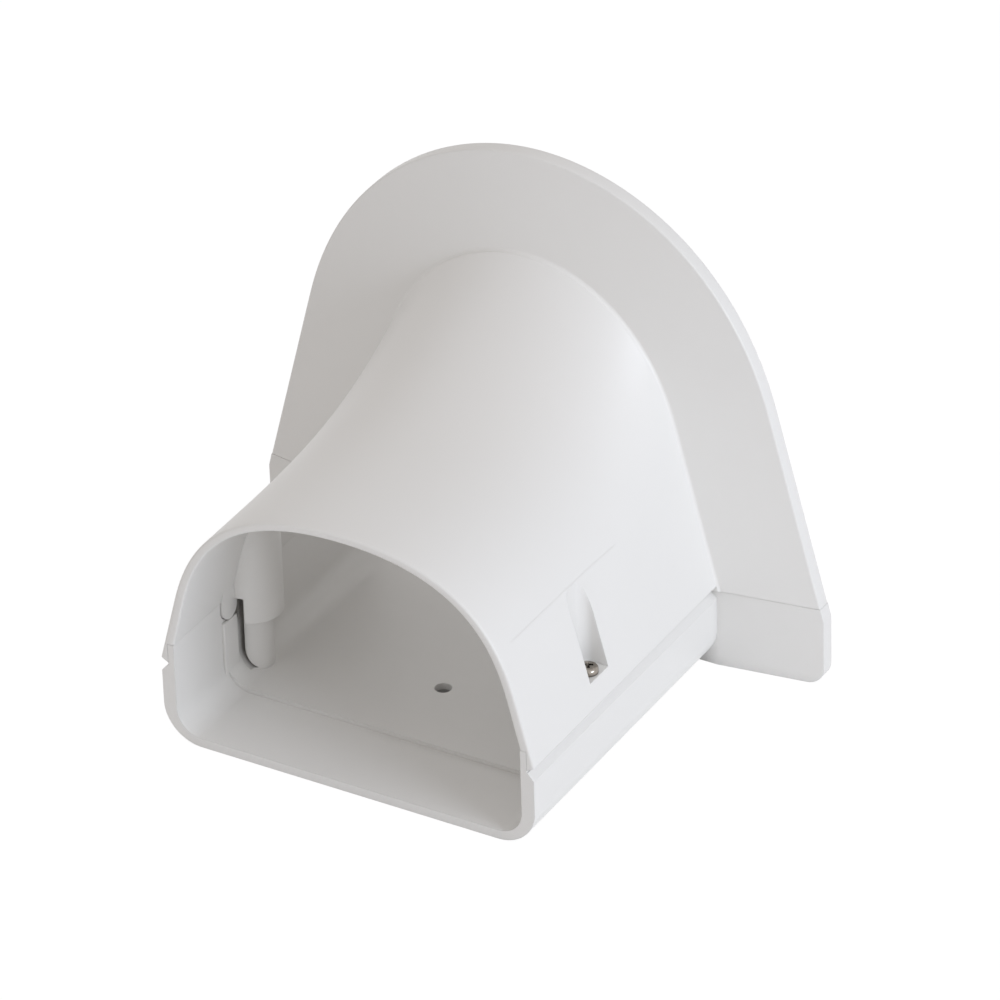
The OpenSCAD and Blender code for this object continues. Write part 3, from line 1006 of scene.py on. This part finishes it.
def room_level(tree, level, **walls):
    """Strength of the room's light: an even level, and more from each named wall."""
    ways = {"left": (-1, 0, 0), "front": (0, -1, 0), "behind": (0, 1, 0), "above": (0, 0, 1)}
    view = add_node(tree, "ShaderNodeTexCoord").outputs["Generated"]
    total = None
    for wall, share in walls.items():
        facing = add_node(tree, "ShaderNodeVectorMath", operation="DOT_PRODUCT")
        tree.links.new(view, facing.inputs[0])
        facing.inputs[1].default_value = ways[wall]
        seen = add_node(tree, "ShaderNodeMath", operation="MAXIMUM")
        tree.links.new(facing.outputs["Value"], seen.inputs[0])
        seen.inputs[1].default_value = 0.0
        added = add_node(tree, "ShaderNodeMath", operation="MULTIPLY_ADD")
        tree.links.new(seen.outputs[0], added.inputs[0])
        added.inputs[1].default_value = share
        if total is None:
            added.inputs[2].default_value = level
        else:
            tree.links.new(total, added.inputs[2])
        total = added.outputs[0]
    return total


room = add_node(sky, "ShaderNodeBackground", {
    "Color": linear("#FFFBFA"),
    "Strength": room_level(sky, level=0.03, left=0.18, front=0.38, behind=0.09, above=0.67)})
white = add_node(sky, "ShaderNodeBackground", {"Color": linear("#FFFFFF"), "Strength": 1.0})
blend = add_node(sky, "ShaderNodeMixShader", {"Fac": white_to_the_eye(sky)})
sky.links.new(room.outputs["Background"], blend.inputs[1])
sky.links.new(white.outputs["Background"], blend.inputs[2])
add_node(sky, "ShaderNodeOutputWorld", {"Surface": blend.outputs["Shader"]})
print("world:", len(sky.nodes), "nodes")

# %% Lamp
def soft_lamp(name, place, target, size, watts, colour):
    light = bpy.data.lights.new(name, "AREA")
    light.shape = "DISK"
    light.size = size
    light.energy = watts
    light.color = linear(colour)[:3]
    lamp = bpy.data.objects.new(name, light)
    bpy.context.scene.collection.objects.link(lamp)
    lamp.location = place
    lamp.rotation_euler = (Vector(target) - Vector(place)).to_track_quat("-Z", "Y").to_euler()


soft_lamp("key_lamp", place=(0.95, -0.20, 0.36), target=(0, 0, 0.04), size=0.5, watts=5.45,
          colour="#ECF3FF")
print("lamp set")

# %% [markdown]
# The camera is a long lens about 1.4 metres away, turned about thirty degrees to the right
# of the mouth and looking down by thirty-two.

# %% Camera
right = Vector((0.86609661, 0.49922647, -0.02548705))
up = Vector((-0.24630299, 0.47056236, 0.84729328))
back = Vector((0.43498447, -0.72756031, 0.53051344))
stand = Vector((0.589372, -0.965813, 0.750662))
lens = bpy.data.cameras.new("camera")
lens.sensor_width = 36.0
lens.lens = 257.97
camera = bpy.data.objects.new("camera", lens)
bpy.context.scene.collection.objects.link(camera)
turned = Matrix((right, up, back)).transposed().to_4x4()
camera.matrix_world = Matrix.Translation(stand) @ turned
bpy.context.scene.camera = camera
bpy.context.scene.view_settings.view_transform = "Standard"
print(f"camera placed {stand.length:.2f} m away")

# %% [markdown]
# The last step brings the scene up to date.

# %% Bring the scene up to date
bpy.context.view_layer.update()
